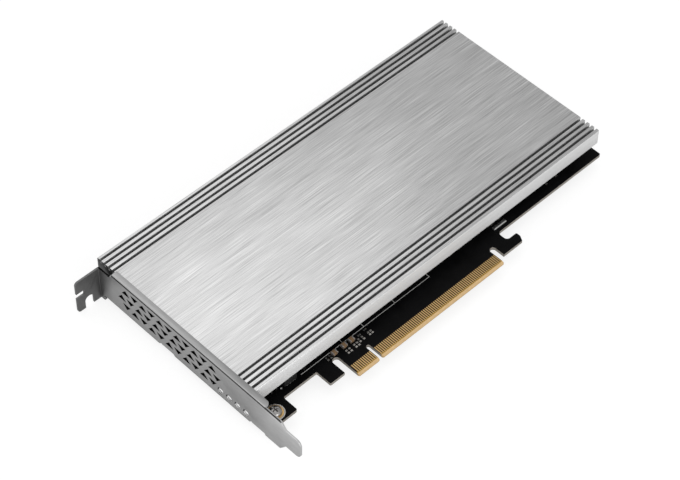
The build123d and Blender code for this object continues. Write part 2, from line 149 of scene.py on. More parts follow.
class CardStage(bpy.types.PropertyGroup):
    """Camera, floor and lamps."""

    place: FloatVectorProperty(
        name="Camera place", description="Where the camera stands", subtype="TRANSLATION",
        default=(-0.387269, -0.365878, 0.700882), precision=5,
    )
    target: FloatVectorProperty(
        name="Camera target", description="The point in the middle of the picture",
        subtype="TRANSLATION", default=(0.0315, 0.05665, 0.0), precision=5,
    )
    roll: FloatProperty(
        name="Camera roll", description="Turn about the line of sight", subtype="ANGLE",
        default=math.radians(0.8),
    )
    lens: FloatProperty(
        name="Lens", description="Focal length on a 36 mm sensor", unit="CAMERA", default=115.6443
    )
    key: FloatProperty(name="Key lamp", description="Watts of the large lamp", default=0.45, min=0)
    fill: FloatProperty(name="Fill lamp", description="Watts of the small lamp", default=3, min=0)
    ambient: FloatProperty(
        name="Ambient", description="Strength of the light from all round", default=0.75, min=0
    )


class Wire:
    """One output of a node, so that sums of shader values read as Python."""

    def __init__(self, finish, socket):
        self.finish = finish
        self.socket = socket

    def part(self, name):
        """Another output of the same node."""
        return Wire(self.finish, self.socket.node.outputs[name])

    def sum_with(self, operation, *terms):
        settings = {"operation": operation}
        return self.finish.node("ShaderNodeMath", settings, dict(enumerate(terms)))

    def __add__(self, other):
        return self.sum_with("ADD", self, other)

    def __sub__(self, other):
        return self.sum_with("SUBTRACT", self, other)

    def __rsub__(self, other):
        return self.sum_with("SUBTRACT", other, self)

    def __mul__(self, other):
        return self.sum_with("MULTIPLY", self, other)

    def __gt__(self, other):
        return self.sum_with("GREATER_THAN", self, other)

    def __lt__(self, other):
        return self.sum_with("LESS_THAN", self, other)

    def __and__(self, other):
        return self.sum_with("MINIMUM", self, other)

    def __or__(self, other):
        return self.sum_with("MAXIMUM", self, other)

    def __abs__(self):
        return self.sum_with("ABSOLUTE", self)

    def fraction(self):
        return self.sum_with("FRACT", self)


class Finish:
    """A material or world under construction, with places in millimetres."""

    def __init__(self, holder):
        holder.use_nodes = True
        self.holder = holder
        self.tree = holder.node_tree
        self.tree.nodes.clear()

    def node(self, kind, settings, sockets):
        """Adds one node: its settings first, then the values or links of its sockets."""
        node = self.tree.nodes.new(kind)
        for setting, value in settings.items():
            setattr(node, setting, value)
        for socket, value in sockets.items():
            if isinstance(value, Wire):
                self.tree.links.new(value.socket, node.inputs[socket])
            else:
                node.inputs[socket].default_value = value
        return Wire(self, node.outputs[0]) if node.outputs else None

    def place(self):
        """Object coordinates in millimetres."""
        spot = self.node("ShaderNodeTexCoord", {}, {}).part("Object")
        return self.node("ShaderNodeVectorMath", {"operation": "SCALE"}, {0: spot, "Scale": 1 / MM})

    def axes(self, spot):
        """The three coordinates of a place."""
        split = self.node("ShaderNodeSeparateXYZ", {}, {0: spot})
        return split, split.part("Y"), split.part("Z")

    def grain(self, spot, stretch, detail=3.0):
        """Noise whose cells per millimetre are given along X, Y and Z."""
        scaled = self.node("ShaderNodeVectorMath", {"operation": "MULTIPLY"}, {0: spot, 1: stretch})
        sockets = {"Vector": scaled, "Scale": 1.0, "Detail": detail, "Roughness": 0.6}
        return self.node("ShaderNodeTexNoise", {}, sockets)

    def ramp(self, value, low, high, start, end):
        """The value remapped from low..high to start..end, and held there outside."""
        sockets = {"Value": value, "From Min": low, "From Max": high}
        sockets.update({"To Min": start, "To Max": end})
        return self.node("ShaderNodeMapRange", {}, sockets)

    def uneven(self, noise, start, end):
        """The usual range of a noise remapped to start..end."""
        return self.ramp(noise, NOISE_LOW, NOISE_HIGH, start, end)

    def mix(self, mask, first, second):
        """The first colour where the mask is 0 and the second where it is 1."""
        colours = [c if isinstance(c, Wire) else (*c, 1.0) for c in (first, second)]
        sockets = {0: mask, 6: colours[0], 7: colours[1]}
        return self.node("ShaderNodeMix", {"data_type": "RGBA"}, sockets).part(2)

    def tinted(self, base, shade):
        """A colour multiplied by a number that changes over the surface."""
        base = base if isinstance(base, Wire) else (*base, 1.0)
        grey = self.node("ShaderNodeCombineColor", {}, {0: shade, 1: shade, 2: shade})
        settings = {"data_type": "RGBA", "blend_type": "MULTIPLY"}
        return self.node("ShaderNodeMix", settings, {0: 1.0, 6: base, 7: grey}).part(2)

    def relief(self, height, depth):
        """A bump whose height of 1 stands for the given depth in millimetres."""
        sockets = {"Height": height, "Strength": 1.0, "Distance": depth * MM}
        return self.node("ShaderNodeBump", {}, sockets)

    def surface(self, sockets):
        """Ends the material in one shader with the given sockets."""
        plain = {
            name: (*value, 1.0) if isinstance(value, (tuple, list)) and len(value) == 3 else value
            for name, value in sockets.items()
        }
        shader = self.node("ShaderNodeBsdfPrincipled", {}, plain)
        self.node("ShaderNodeOutputMaterial", {}, {"Surface": shader})
        return self.holder


def new_finish(name):
    """An empty material with its builder."""
    return Finish(bpy.data.materials.new(name))


def brushed_aluminium():
    """Long streaks on the upper face, satin side walls, and painted shade in the grooves and on the
    inner end.
    """
    look = bpy.context.scene.card_cover
    finish = new_finish("brushed_aluminium")
    spot = finish.place()
    x, y, z = finish.axes(spot)
    fine = finish.grain(spot, (0.045, 4.4, 4.4), 3.0)
    broad = finish.grain(spot, (0.012, 1.3, 1.3), 3.0)
    cloud = finish.grain(spot, (0.02, 0.05, 0.05), 2.0)
    fine_share, broad_share, cloud_share = 0.68, 0.22, 0.1
    streaks = fine * fine_share + broad * broad_share + cloud * cloud_share
    narrow = (0.35, 0.65)
    shade = finish.ramp(streaks, *narrow, 1 - look.brushing, 1 + look.brushing)
    # Millimetres inside the side faces, then millimetres below the upper face
    rim, margin = 0.08, 1.2
    shoulder, groove_start, groove_full, groove_floor = 0.2, 0.15, 1.0, 2.2
    near, far, top = cover_low.y / MM, cover_high.y / MM, cover_high.z / MM
    sides = (y < near + rim) | (y > far - rim)
    wall = (sides | (x > cover_high.x / MM - rim)) & (z < top - shoulder)
    # Painted shade: the end behind the bracket is nearly black for the shade in the gap there.
    shaded_inner_end = (x < cover_low.x / MM + rim) & (z < top - shoulder)
    inside = (y > near + margin) & (y < far - margin)
    # Painted shade in the grooves, darker with depth below the upper face.
    below = finish.ramp(z, top - groove_full, top - groove_start, 1.0, 0.0)
    shaded_groove = inside & below & (z > top - groove_floor)
    satin = finish.tinted(tuple(look.wall), finish.ramp(streaks, *narrow, 0.94, 1.06))
    tone = finish.mix(shaded_groove, finish.tinted(tuple(look.metal), shade), tuple(look.shaded_groove))
    tone = finish.mix(wall, tone, satin)
    tone = finish.mix(shaded_inner_end, tone, tuple(look.shaded_inner_end))
    less_metal, rougher, streak_depth = 0.85, 0.2, 0.02
    return finish.surface({
        "Base Color": tone,
        "Metallic": 1.0 - (wall | shaded_inner_end) * less_metal,
        "Roughness": finish.uneven(streaks, 0.30, 0.42) + (shaded_groove | wall) * rougher,
        "Normal": finish.relief(streaks * (1 - wall), streak_depth),
    })


def bracket_finish():
    """Satin plating with painted shade in its holes, along the flange's bend and at the tab, painted
    light at the tongue and on the flange's rim, and a painted glint in the light holes.
    """
    look = bpy.context.scene.card_bracket
    finish = new_finish("bracket_plating")
    spot = finish.place()
    x, y, z = finish.axes(spot)
    rolling = finish.grain(spot, (1.6, 0.25, 1.6), 3.0)
    cloud = finish.grain(spot, (0.09, 0.09, 0.09), 3.0)
    pits = finish.grain(spot, (9.0, 9.0, 9.0), 2.0)
    outer, top = (board_low.x - look.stand_off) / MM, bracket_top / MM
    skin, hole_low, hole_high = 0.01, board_under / MM - 0.4, top - 1.3
    within = (x > outer + skin) & (x < outer + look.sheet / MM - skin)
    # Painted shade: the walls of the vents and light holes are darkened.
    holes = within & (y > finger_high.y / MM) & (z > hole_low) & (z < hole_high)
    # A painted glint: the lower walls of the status lights' holes are painted bright and less
    # metallic.
    lights_end, lights_top, lights_depth = 34.8, 0.1, 0.12
    painted_glint = holes & (y < lights_end) & (z < lights_top) & (x > outer + lights_depth)
    # Painted shade: a dark line along the lower part of the flange's bend.
    bend_height, bend_depth, bend_end = 0.75, 0.34, cover_high.y / MM - 6
    bend = (z > top - bend_height) & (x < outer + bend_depth) & (y < bend_end)
    crown_height = 0.06
    crown = z > top - crown_height
    # Painted shade and light along Y: the sheet is painted darker at the tab and lighter at the
    # tongue, and a painted sheen on the flange's rim brightens towards the tab. Each has its start
    # and end along Y and its shades.
    tab_start, tab_end, tab_shade = 98, 106, 0.38
    foot_start, foot_end, foot_shade = 3, 16, 1.3
    rim_start, rim_end, rim_near, rim_far = 20, 95, 0.72, 1.15
    along = finish.ramp(y, tab_start, tab_end, 1.0, tab_shade)
    along = along * finish.ramp(y, foot_start, foot_end, foot_shade, 1.0)
    sheen = finish.ramp(y, rim_start, rim_end, rim_near, rim_far) * crown + (1 - crown)
    rolled, clouded = 0.6, 0.4
    shade = finish.uneven(rolling * rolled + cloud * clouded, 0.9, 1.07) * along * sheen
    hole_shade, glint_bright, bend_shade = 0.98, 2.4, 0.9
    shade = shade * (1 - holes * hole_shade + painted_glint * glint_bright) * (1 - bend * bend_shade)
    less_metal, clouds_in_gloss, pits_in_gloss, pit_depth = 0.6, 0.6, 0.4, 0.012
    return finish.surface({
        "Base Color": finish.tinted(tuple(look.steel), shade),
        "Metallic": 1.0 - painted_glint * less_metal,
        "Roughness": finish.uneven(cloud * clouds_in_gloss + pits * pits_in_gloss, 0.34, 0.46),
        "Normal": finish.relief((pits + rolling) * 0.5, pit_depth),
    })


def board_finish():
    """Black resist, bare laminate at the cut edges, and the open strip round the contacts, with
    painted shade on the inner cut edge and between the contacts.
    """
    look = bpy.context.scene.card_board
    finish = new_finish("board_lacquer")
    spot = finish.place()
    x, y, z = finish.axes(spot)
    # The inner cut edge behind the bracket keeps the black lacquer as painted shade.
    face_skin, inner_skin = 0.04, 0.1
    cut = (abs(z) < board_top / MM - face_skin) & (x > board_low.x / MM + inner_skin)
    # The open strip round the contacts, the contacts' feet and the ground nose, in millimetres
    strip_low, strip_high = finger_low.x / MM - 0.9, finger_high.x / MM + 0.4
    strip_end, feet_end, nose_end = finger_high.y / MM + 0.25, 1.9, 1.3
    strip = (x > strip_low) & (x < strip_high) & (y < strip_end)
    layers = finish.grain(spot, (0.6, 0.6, 9.0), 3.0)
    weave = finish.grain(spot, (2.4, 2.4, 2.4), 3.0)
    laminate = finish.tinted(tuple(look.laminate), finish.uneven(layers, 0.65, 1.25))
    # Bare laminate between the contacts, painted darker for the shade between them.
    gap = finish.tinted(tuple(look.gap), finish.uneven(weave, 0.8, 1.2))
    feet = finish.tinted(tuple(look.foot), finish.uneven(weave, 0.85, 1.15))
    nose = finish.tinted(tuple(look.bevel), finish.uneven(layers, 0.85, 1.12))
    cloud = finish.grain(spot, (0.12, 0.12, 0.12), 3.0)
    lacquer = finish.tinted(tuple(look.resist), finish.uneven(cloud, 0.7, 1.5))
    traces = finish.node(
        "ShaderNodeTexWave", {"wave_type": "BANDS", "bands_direction": "DIAGONAL"},
        {"Vector": spot, "Scale": 0.55, "Distortion": 2.0, "Detail": 1.0, "Detail Scale": 0.15},
    )
    face = finish.mix(strip, lacquer, finish.mix(y < feet_end, gap, feet))
    tone = finish.mix(cut, face, laminate)
    tone = finish.mix(cut & (y < nose_end) & strip, tone, nose)
    raised, woven, rougher, trace_depth = 0.7, 0.3, 0.3, 0.02
    height = finish.ramp(traces, 0.45, 0.55, 0.0, 1.0) * raised + weave * woven
    return finish.surface({
        "Base Color": tone,
        "Roughness": finish.uneven(cloud, 0.42, 0.52) + cut * rougher,
        "Specular IOR Level": 0.05,
        "Normal": finish.relief(height, trace_depth),
    })


def gold_plate(name, combed):
    """Satin gold over nickel; on the contacts a painted shade darkens each contact towards its
    edges.
    """
    look = bpy.context.scene.card_board
    finish = new_finish(name)
    spot = finish.place()
    wear = finish.grain(spot, (4.0, 0.5, 1.0), 3.0)
    cloud = finish.grain(spot, (0.3, 0.3, 0.3), 2.0)
    shade = finish.uneven((wear + cloud) * 0.5, 0.86, 1.1)
    if combed:
        # The contacts stand 1 mm apart, with their middles halfway between whole millimetres.
        aside = abs(finish.axes(spot)[0].fraction() - 0.5)
        # Painted shade towards each contact's edges.
        bright_width, dark_width, edge_shade = 0.20, 0.29, 0.12
        shade = shade * finish.ramp(aside, bright_width, dark_width, 1.0, edge_shade)
    return finish.surface({
        "Base Color": finish.tinted(tuple(look.plating), shade),
        "Metallic": 1.0,
        "Roughness": finish.uneven(wear, 0.28, 0.42),
        "Normal": finish.relief(wear, 0.004),
    })


def metal(name, tint, rough, ringed):
    """A turned, plated or tinned metal: rings about Z where it is ringed, else fine grain."""
    finish = new_finish(name)
    spot = finish.place()
    lines = finish.grain(spot, (0.4, 0.4, 12.0) if ringed else (3.0, 3.0, 3.0), 3.0)
    cloud = finish.grain(spot, (0.5, 0.5, 0.5), 2.0)
    shade = finish.uneven((lines + cloud) * 0.5, 0.85, 1.1)
    return finish.surface({
        "Base Color": finish.tinted(tint, shade),
        "Metallic": 1.0,
        "Roughness": finish.uneven(lines, rough - SMOOTHER, rough + ROUGHER),
        "Normal": finish.relief(lines, 0.006),
    })


def moulding(name, tint, rough, cells):
    """Moulded plastic, ceramic or epoxy with a matt skin of the given cells per millimetre."""
    finish = new_finish(name)
    spot = finish.place()
    skin = finish.grain(spot, (cells, cells, cells), 4.0)
    cloud = finish.grain(spot, (0.4, 0.4, 0.4), 2.0)
    return finish.surface({
        "Base Color": finish.tinted(tint, finish.uneven((skin + cloud) * 0.5, 0.8, 1.2)),
        "Roughness": finish.uneven(skin, rough - ROUGHER, rough + ROUGHER),
        "Specular IOR Level": 0.4,
        "Normal": finish.relief(skin, 0.02),
    })


def ink_finish():
    """Screen-printed ink, slightly uneven."""
    look = bpy.context.scene.card_board
    finish = new_finish("print_ink")
    spot = finish.place()
    mottle = finish.grain(spot, (5.0, 5.0, 5.0), 3.0)
    return finish.surface({
        "Base Color": finish.tinted(tuple(look.ink), finish.uneven(mottle, 0.75, 1.1)),
        "Roughness": finish.uneven(mottle, 0.55, 0.75),
        "Normal": finish.relief(mottle, 0.005),
    })


def lens_finish():
    """Clear epoxy of the status lights, painted nearly black for the shade inside the bracket's
    holes.
    """
    finish = new_finish("light_epoxy")
    spot = finish.place()
    haze = finish.grain(spot, (1.5, 1.5, 1.5), 2.0)
    return finish.surface({
        "Base Color": finish.tinted((0.012, 0.012, 0.011), finish.uneven(haze, 0.9, 1.1)),
        "Roughness": finish.uneven(haze, 0.35, 0.45),
        "Specular IOR Level": 0.1,
    })


def dress(node, material):
    """Gives a CAD node its finish."""
    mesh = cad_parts[node].data
    mesh.materials.clear()
    mesh.materials.append(material)


def keep(piece, slot, *replaced):
    """Makes a new piece part of the card and hides the nodes that it stands for; the slot is not
    used.
    """
    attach(piece, BODY)
    if replaced:
        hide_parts(*replaced)
    return piece


def as_piece(name, shape, material):
    """Turns a bmesh into an object with smooth curves and crisp edges."""
    for face in shape.faces:
        face.smooth = True
    for edge in shape.edges:
        edge.smooth = len(edge.link_faces) == 2 and edge.calc_face_angle() < CREASE
    mesh = bpy.data.meshes.new(name)
    shape.to_mesh(mesh)
    shape.free()
    mesh.materials.append(material)
    piece = bpy.data.objects.new(name, mesh)
    bpy.context.scene.collection.objects.link(piece)
    return piece


def merged_copy(node):
    """A copy of a CAD node's mesh with its loose triangles joined."""
    shape = bmesh.new()
    shape.from_mesh(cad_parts[node].data)
    bmesh.ops.remove_doubles(shape, verts=shape.verts, dist=MERGE)
    return shape


def softened(node, name, width, material, slot):
    """A copy of a CAD node with its sharp edges broken, which stands for the node."""
    shape = merged_copy(node)
    bmesh.ops.dissolve_limit(
        shape, angle_limit=FLAT, use_dissolve_boundaries=False,
        verts=shape.verts, edges=shape.edges, delimit=set(),
    )
    sharp = [
        edge for edge in shape.edges
        if len(edge.link_faces) == 2 and edge.calc_face_angle() > SHARP
    ]
    bmesh.ops.bevel(
        shape, geom=sharp, offset=width, offset_type="OFFSET", segments=2, profile=0.5,
        affect="EDGES", clamp_overlap=True,
    )
    return keep(as_piece(name, shape, material), slot, node)


def solids_of(node):
    """The lowest and highest corner of each separate solid in a CAD node."""
    shape = merged_copy(node)
    boxes, seen = [], set()
    for start in shape.verts:
        if start in seen:
            continue
        group, front = [], [start]
        seen.add(start)
        while front:
            vertex = front.pop()
            group.append(vertex.co)
            for edge in vertex.link_edges:
                other = edge.other_vert(vertex)
                if other not in seen:
                    seen.add(other)
                    front.append(other)
        low = Vector([min(co[i] for co in group) for i in range(3)])
        high = Vector([max(co[i] for co in group) for i in range(3)])
        boxes.append((low, high))
    shape.free()
    return boxes


def slab(shape, low, high):
    """Adds a block between two corners to a bmesh."""
    size = [high[i] - low[i] for i in range(3)]
    middle = [(high[i] + low[i]) / 2 for i in range(3)]
    matrix = Matrix.Translation(middle) @ Matrix.Diagonal((*size, 1))
    return bmesh.ops.create_cube(shape, size=1, matrix=matrix)["verts"]


def turned(outline, closed=False, sides=36):
    """Revolves an outline of radius and height pairs in metres about the Z axis."""
    shape = bmesh.new()
    points = [shape.verts.new((radius, 0, height)) for radius, height in outline]
    edges = [shape.edges.new(pair) for pair in zip(points, points[1:])]
    if closed:
        edges.append(shape.edges.new((points[-1], points[0])))
    bmesh.ops.spin(
        shape, geom=points + edges, cent=(0, 0, 0), axis=(0, 0, 1), angle=math.tau,
        steps=sides, use_merge=True,
    )
    bmesh.ops.remove_doubles(shape, verts=shape.verts, dist=MERGE)
    bmesh.ops.recalc_face_normals(shape, faces=shape.faces)
    return shape


def cross_cutter(reach, width, top, bottom):
    """A tapered cross that cuts a screw's recess."""
    half, taper = width / 2, 0.55
    outline = []
    for turn in range(4):
        for along, across in ((reach, -half), (reach, half), (half, half)):
            spin = Matrix.Rotation(turn * math.pi / 2, 2)
            outline.append(spin @ Vector((along, across)))
    shape = bmesh.new()
    upper = [shape.verts.new((*point, top)) for point in outline]
    lower = [shape.verts.new((*(point * taper), bottom)) for point in outline]
    shape.faces.new(upper)
    shape.faces.new(reversed(lower))
    count = len(outline)
    for index in range(count):
        after = (index + 1) % count
        shape.faces.new((upper[index], lower[index], lower[after], upper[after]))
    bmesh.ops.recalc_face_normals(shape, faces=shape.faces)
    return shape


def cut_away(piece, cutter):
    """Cuts one object out of another and drops the cutter."""
    modifier = piece.modifiers.new("cut", "BOOLEAN")
    modifier.object = cutter
    modifier.solver = "EXACT"
    view = bpy.context.evaluated_depsgraph_get()
    mesh = bpy.data.meshes.new_from_object(piece.evaluated_get(view), depsgraph=view)
    piece.modifiers.remove(modifier)
    piece.data = mesh
    bpy.data.objects.remove(cutter)
    return piece


class Tree:
    """A geometry node tree under construction, with named inputs."""

    def __init__(self, name, inputs):
        self.group = bpy.data.node_groups.new(name, "GeometryNodeTree")
        face = self.group.interface
        face.new_socket("Geometry", in_out="OUTPUT", socket_type="NodeSocketGeometry")
        face.new_socket("Geometry", in_out="INPUT", socket_type="NodeSocketGeometry")
        self.idents = {}
        for label, kind in inputs.items():
            item = face.new_socket(label, in_out="INPUT", socket_type=kind)
            self.idents[label] = item.identifier
        self.entry = self.group.nodes.new("NodeGroupInput")
        self.exit = self.group.nodes.new("NodeGroupOutput")

    def node(self, kind, settings, sockets):
        """Adds one node: its settings first, then the values or links of its sockets."""
        node = self.group.nodes.new(kind)
        for setting, value in settings.items():
            setattr(node, setting, value)
        for socket, value in sockets.items():
            if isinstance(value, bpy.types.NodeSocket):
                self.group.links.new(value, node.inputs[socket])
            else:
                node.inputs[socket].default_value = value
        return node

    def given(self, label):
        """The group's own input of that name."""
        return self.entry.outputs[label]

    def close(self, instances):
        """Ends the tree: instances made real, with the material that was given."""
        real = self.node("GeometryNodeRealizeInstances", {}, {"Geometry": instances})
        sockets = {"Geometry": real.outputs[0], "Material": self.given("Finish")}
        painted = self.node("GeometryNodeSetMaterial", {}, sockets)
        self.group.links.new(painted.outputs[0], self.exit.inputs[0])

    def run(self, name, base, values):
        """The tree's result on a base mesh, as a plain mesh object."""
        carrier = bpy.data.objects.new(name + "_source", base)
        bpy.context.scene.collection.objects.link(carrier)
        modifier = carrier.modifiers.new(name, "NODES")
        modifier.node_group = self.group
        for label, value in values.items():
            modifier[self.idents[label]] = value
        view = bpy.context.evaluated_depsgraph_get()
        mesh = bpy.data.meshes.new_from_object(carrier.evaluated_get(view), depsgraph=view)
        carrier.modifiers.remove(modifier)
        bpy.data.objects.remove(carrier)
        mesh.name = name
        piece = bpy.data.objects.new(name, mesh)
        bpy.context.scene.collection.objects.link(piece)
        return piece


def shape_tree():
    """One given shape at each point of the base mesh, scaled by the points' own size."""
    tree = Tree("shape_on_points", {"Shape": "NodeSocketObject", "Finish": "NodeSocketMaterial"})
    shape = tree.node("GeometryNodeObjectInfo", {}, {"Object": tree.given("Shape")})
    size = tree.node(
        "GeometryNodeInputNamedAttribute", {"data_type": "FLOAT_VECTOR"}, {"Name": "size"}
    )
    placed = tree.node("GeometryNodeInstanceOnPoints", {}, {
        "Points": tree.given("Geometry"), "Instance": shape.outputs["Geometry"],
        "Scale": size.outputs[0],
    })
    tree.close(placed.outputs[0])
    return tree


def spread(name, shape, material, places, sizes=None):
    """One piece with a shape at each place, scaled to a size where sizes are given."""
    points = bpy.data.meshes.new(name + "_points")
    points.from_pydata([tuple(place) for place in places], [], [])
    scales = sizes or [(1, 1, 1)] * len(places)
    attribute = points.attributes.new("size", "FLOAT_VECTOR", "POINT")
    attribute.data.foreach_set("vector", [value for scale in scales for value in scale])
    piece = shape_tree().run(name, points, {"Shape": shape, "Finish": material})
    bpy.data.objects.remove(shape)
    return piece


class CARD_OT_board(bpy.types.Operator):
    """Lacquer of the circuit board and gold of its contacts and rings"""

    bl_idname = "card.board"
    bl_label = "Circuit board"

    def execute(self, context):
        dress("circuit_board", board_finish())
        contact_gold = gold_plate("contact_gold", True)
        for node in ("edge_contacts_front", "edge_contacts_back"):
            dress(node, contact_gold)
        dress("mounting_rings", gold_plate("ring_gold", False))
        return {"FINISHED"}


class CARD_OT_marks(bpy.types.Operator):
    """Printed lines, ticks and dots on the component side"""

    bl_idname = "card.marks"
    bl_label = "Printed marks"

    # Millimetres: a line's start and Y, a short line's start, end and Y, where the ticks for
    # drives of 30, 42, 60 and 80 mm stand and how far they go, and the dot's middle and radius.
    long_line = (-29.4, 16.3)
    short_line = (-37.5, -32.1, 16.4)
    ticks = (-6.1, 5.9, 23.8, 43.9)
    tick_end = 18.6
    dot = (-39.7, 16.8)
    dot_radius = 0.42
    dot_sides = 20
    ink_depth = 0.02

    def execute(self, context):
        ink_high = board_top + self.ink_depth * MM
        half = context.scene.card_board.line / MM / 2
        shape = bmesh.new()

        def bar(left, right, low, high):
            slab(shape, (left * MM, low * MM, board_top), (right * MM, high * MM, ink_high))

        start, y = self.long_line
        bar(start, self.ticks[-1] + half, y - half, y + half)
        for x in self.ticks:
            bar(x - half, x + half, y + half, self.tick_end)
        start, end, y = self.short_line
        bar(start, end, y - half, y + half)
        x, y = self.dot
        radius = self.dot_radius * MM
        bmesh.ops.create_cone(
            shape, cap_ends=True, segments=self.dot_sides, radius1=radius, radius2=radius,
            depth=ink_high - board_top,
            matrix=Matrix.Translation((x * MM, y * MM, (board_top + ink_high) / 2)),
        )
        keep(as_piece("printed_marks", shape, ink_finish()), "light_lens")
        return {"FINISHED"}


class CARD_OT_lands(bpy.types.Operator):
    """Bare lands, tinned rings and the plated holes for shorter drives"""

    bl_idname = "card.lands"
    bl_label = "Lands and rings"

    # Where two lands of one empty place lie: their outer ends along X, and their Y.
    empty_places = (
        (-16.9, -14.2, 15.3), (-16.9, -14.2, 14.0), (-8.3, -5.7, 12.4), (-8.3, -5.7, 11.0),
        (-3.9, -1.4, 12.4), (-3.9, -1.4, 11.0), (-0.8, 2.2, 13.2), (-0.8, 2.2, 11.9),
        (4.5, 6.9, 13.0), (4.5, 6.9, 11.8), (0.5, 2.2, 14.5), (4.3, 5.9, 15.0),
    )
    # Small parts at the edge of the cover: their middle, length and width.
    edge_parts = (
        (-44.0, 17.8, 1.0, 0.8), (-41.5, 17.9, 1.0, 0.8), (-26.3, 17.7, 1.6, 0.8),
        (83.5, 18.0, 2.0, 1.0), (87.5, 18.0, 2.0, 1.0), (117.2, 17.5, 1.0, 0.8),
        (123.5, 17.8, 1.6, 0.8),
    )
    # Columns of plated holes for drives of 30, 42 and 60 mm, and the rows of the bays.
    hole_columns = (-6.1, 5.9, 23.9)
    hole_rows = (27.3, 50.8, 74.3, 97.8)
    # A bare land's length, width and height, and the height of the small parts.
    land_size = (0.95, 0.8, 0.05)
    part_height = 0.35
    # Inner and outer radius of both kinds of ring, and their height.
    tinned_radii = (3.5, 4.0)
    plated_radii = (1.6, 2.6)
    ring_height = 0.03

    def execute(self, context):
        tin = metal("tinned_copper", (0.50, 0.48, 0.45), 0.34, False)
        keep(self.blocks(tin), "solder_tin")
        keep(self.rings(tin), "solder_tin")
        keep(self.plated_holes(bpy.data.materials["ring_gold"]), "contact_gold")
        return {"FINISHED"}

    def blocks(self, tin):
        """Flat lands in pairs, and low parts beside the cover."""
        half = self.land_size[0] / 2
        blocks = [
            (x, y, self.land_size)
            for left, right, y in self.empty_places for x in (left + half, right - half)
        ]
        blocks += [(x, y, (long, wide, self.part_height)) for x, y, long, wide in self.edge_parts]
        places = [(x * MM, y * MM, board_top + size[2] / 2 * MM) for x, y, size in blocks]
        sizes = [[value * MM for value in size] for x, y, size in blocks]
        block = bmesh.new()
        bmesh.ops.create_cube(block, size=1)
        return spread("board_lands", as_piece("land_shape", block, tin), tin, places, sizes)

    def ring_piece(self, name, radii, places, material):
        """One flat ring at each place, from its two radii in millimetres."""
        inner, outer = [radius * MM for radius in radii]
        height = self.ring_height * MM
        outline = [(inner, 0), (inner, height), (outer, height), (outer, 0)]
        shape = as_piece(name + "_shape", turned(outline, closed=True), material)
        return spread(name, shape, material, places)

    def rings(self, tin):
        """Tinned rings outside the plated rings of the bracket screws."""
        places = [
            ((low.x + high.x) / 2, (low.y + high.y) / 2, board_top)
            for low, high in solids_of("mounting_rings")
        ]
        return self.ring_piece("tinned_rings", self.tinned_radii, places, tin)

    def plated_holes(self, gold):
        """Plated rings of the holes that hold the standoff of a shorter drive."""
        places = [
            (x * MM, y * MM, board_top) for x in self.hole_columns for y in self.hole_rows
        ]
        return self.ring_piece("plated_hole_rings", self.plated_radii, places, gold)


